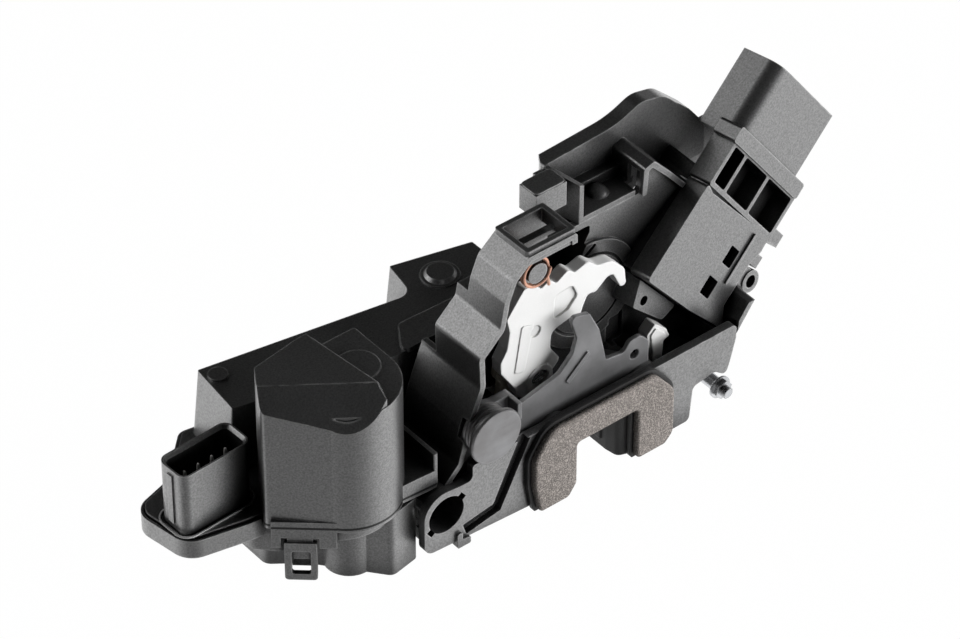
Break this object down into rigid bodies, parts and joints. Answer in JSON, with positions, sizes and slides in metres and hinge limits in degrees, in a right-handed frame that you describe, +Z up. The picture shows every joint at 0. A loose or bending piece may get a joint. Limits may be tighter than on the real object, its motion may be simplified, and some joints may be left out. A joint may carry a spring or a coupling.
{
  "type": "door latch actuator",
  "caption": "Vehicle door latch with a rotary claw, pawl and levers in a moulded tray, joined to a geared lock motor housing with two harness connectors.",
  "frame": {"origin": "middle of the underside that the latch lies on", "axes": "+X along the latch towards the large connector, -Y out of the latch face, +Z up"},
  "size_m": [0.2522, 0.078, 0.1056],
  "materials": {
    "black_plastic": "fine grained, semi-gloss",
    "gasket_foam": "closed-cell foam, speckled",
    "black_rubber": "satin",
    "pale_sealant": "semi-gloss bead",
    "white_plastic": "smooth acetal",
    "cream_plastic": "smooth acetal",
    "gear_plastic": "smooth acetal",
    "dark_steel": "black passivated",
    "plain_steel": "dull, lightly brushed",
    "bright_zinc": "bright zinc plate",
    "tinned_terminal": "tinned",
    "copper_wire": "bare drawn wire"
  },
  "bodies": {
    "housing": {"actuator_base": "black_plastic", "actuator_cover": "black_plastic", "lock_motor": "plain_steel", "gear_axle_1": "plain_steel", "gear_axle_2": "plain_steel", "gear_axle_3": "plain_steel", "connector_shroud": "black_plastic", "connector_pins": "tinned_terminal", "connector_seal": "pale_sealant", "latch_housing": "black_plastic", "tray_screw_1": "plain_steel", "tray_screw_2": "plain_steel", "latch_face_plate": "black_plastic", "gasket_backing": "black_rubber", "face_gasket": "gasket_foam", "mouth_liner": "black_rubber", "mouth_frame": "dark_steel", "steel_bracket": "dark_steel", "claw_pin": "plain_steel", "claw_spring": "plain_steel", "pawl_pin": "plain_steel", "pawl_spring": "plain_steel", "release_screw": "bright_zinc", "lock_lever_pin": "plain_steel", "handle_disc": "plain_steel", "handle_spring": "plain_steel", "copper_spring": "copper_wire", "fixing_stud": "bright_zinc", "side_cover": "black_plastic", "main_connector": "black_plastic", "main_terminals": "tinned_terminal", "upper_hood": "black_plastic"},
    "rotor": {"motor_rotor": "plain_steel"},
    "idler": {"idler_gear": "gear_plastic"},
    "wheel": {"drive_wheel": "gear_plastic"},
    "sector": {"drive_sector": "gear_plastic", "lock_cam": "cream_plastic"},
    "claw_group": {"claw": "plain_steel", "claw_overmould": "black_plastic"},
    "pawl_group": {"pawl": "plain_steel"},
    "release_group": {"release_lever": "white_plastic"},
    "lock_lever_group": {"lock_lever": "white_plastic"},
    "handle_group": {"handle_lever": "dark_steel"}
  },
  "joints": [
    {"name": "rotor_spin", "type": "hinge", "parent": "housing", "child": "rotor", "pos_m": [-0.07111, -0.01622, 0.04], "axis": [0, 0, 1], "range_deg": [0, 400]},
    {"name": "idler_spin", "type": "hinge", "parent": "housing", "child": "idler", "pos_m": [-0.07178, 0.00302, 0.015], "axis": [0, 0, 1], "range_deg": [-143.5, 0]},
    {"name": "wheel_spin", "type": "hinge", "parent": "housing", "child": "wheel", "pos_m": [-0.06257, 0.01389, 0.025], "axis": [0, 0, 1], "range_deg": [0, 80]},
    {"name": "sector_swing", "type": "hinge", "parent": "housing", "child": "sector", "pos_m": [-0.00441, 0.02218, 0.032], "axis": [0, 0, 1], "range_deg": [-10.05, 0]},
    {"name": "claw_turn", "type": "hinge", "parent": "housing", "child": "claw_group", "pos_m": [-0.00261, -0.02542, 0.024], "axis": [0, -1, 0], "range_deg": [0, 34], "stiffness_Nm_per_rad": 0.12, "springref_deg": -17.19},
    {"name": "pawl_lift", "type": "hinge", "parent": "housing", "child": "pawl_group", "pos_m": [0.03439, -0.02542, 0.024], "axis": [0, 1, 0], "range_deg": [0, 15], "stiffness_Nm_per_rad": 0.05, "springref_deg": -17.19},
    {"name": "release_turn", "type": "hinge", "parent": "housing", "child": "release_group", "pos_m": [-0.00101, -0.02042, 0.0386], "axis": [0, -1, 0], "range_deg": [0, 12], "stiffness_Nm_per_rad": 0.05, "springref_deg": -17.19},
    {"name": "lock_lever_turn", "type": "hinge", "parent": "housing", "child": "lock_lever_group", "pos_m": [0.04679, -0.02042, 0.02], "axis": [0, 1, 0], "range_deg": [-6, 6]},
    {"name": "handle_turn", "type": "hinge", "parent": "housing", "child": "handle_group", "pos_m": [-0.02961, -0.02642, 0.0406], "axis": [0, -1, 0], "range_deg": [0, 18], "stiffness_Nm_per_rad": 0.05, "springref_deg": -17.19}
  ],
  "couplings": [
    {"joint": "idler_spin", "follows": "rotor_spin", "ratio": -0.35714},
    {"joint": "wheel_spin", "follows": "rotor_spin", "ratio": 0.19841},
    {"joint": "sector_swing", "follows": "rotor_spin", "ratio": -0.024802}
  ]
}
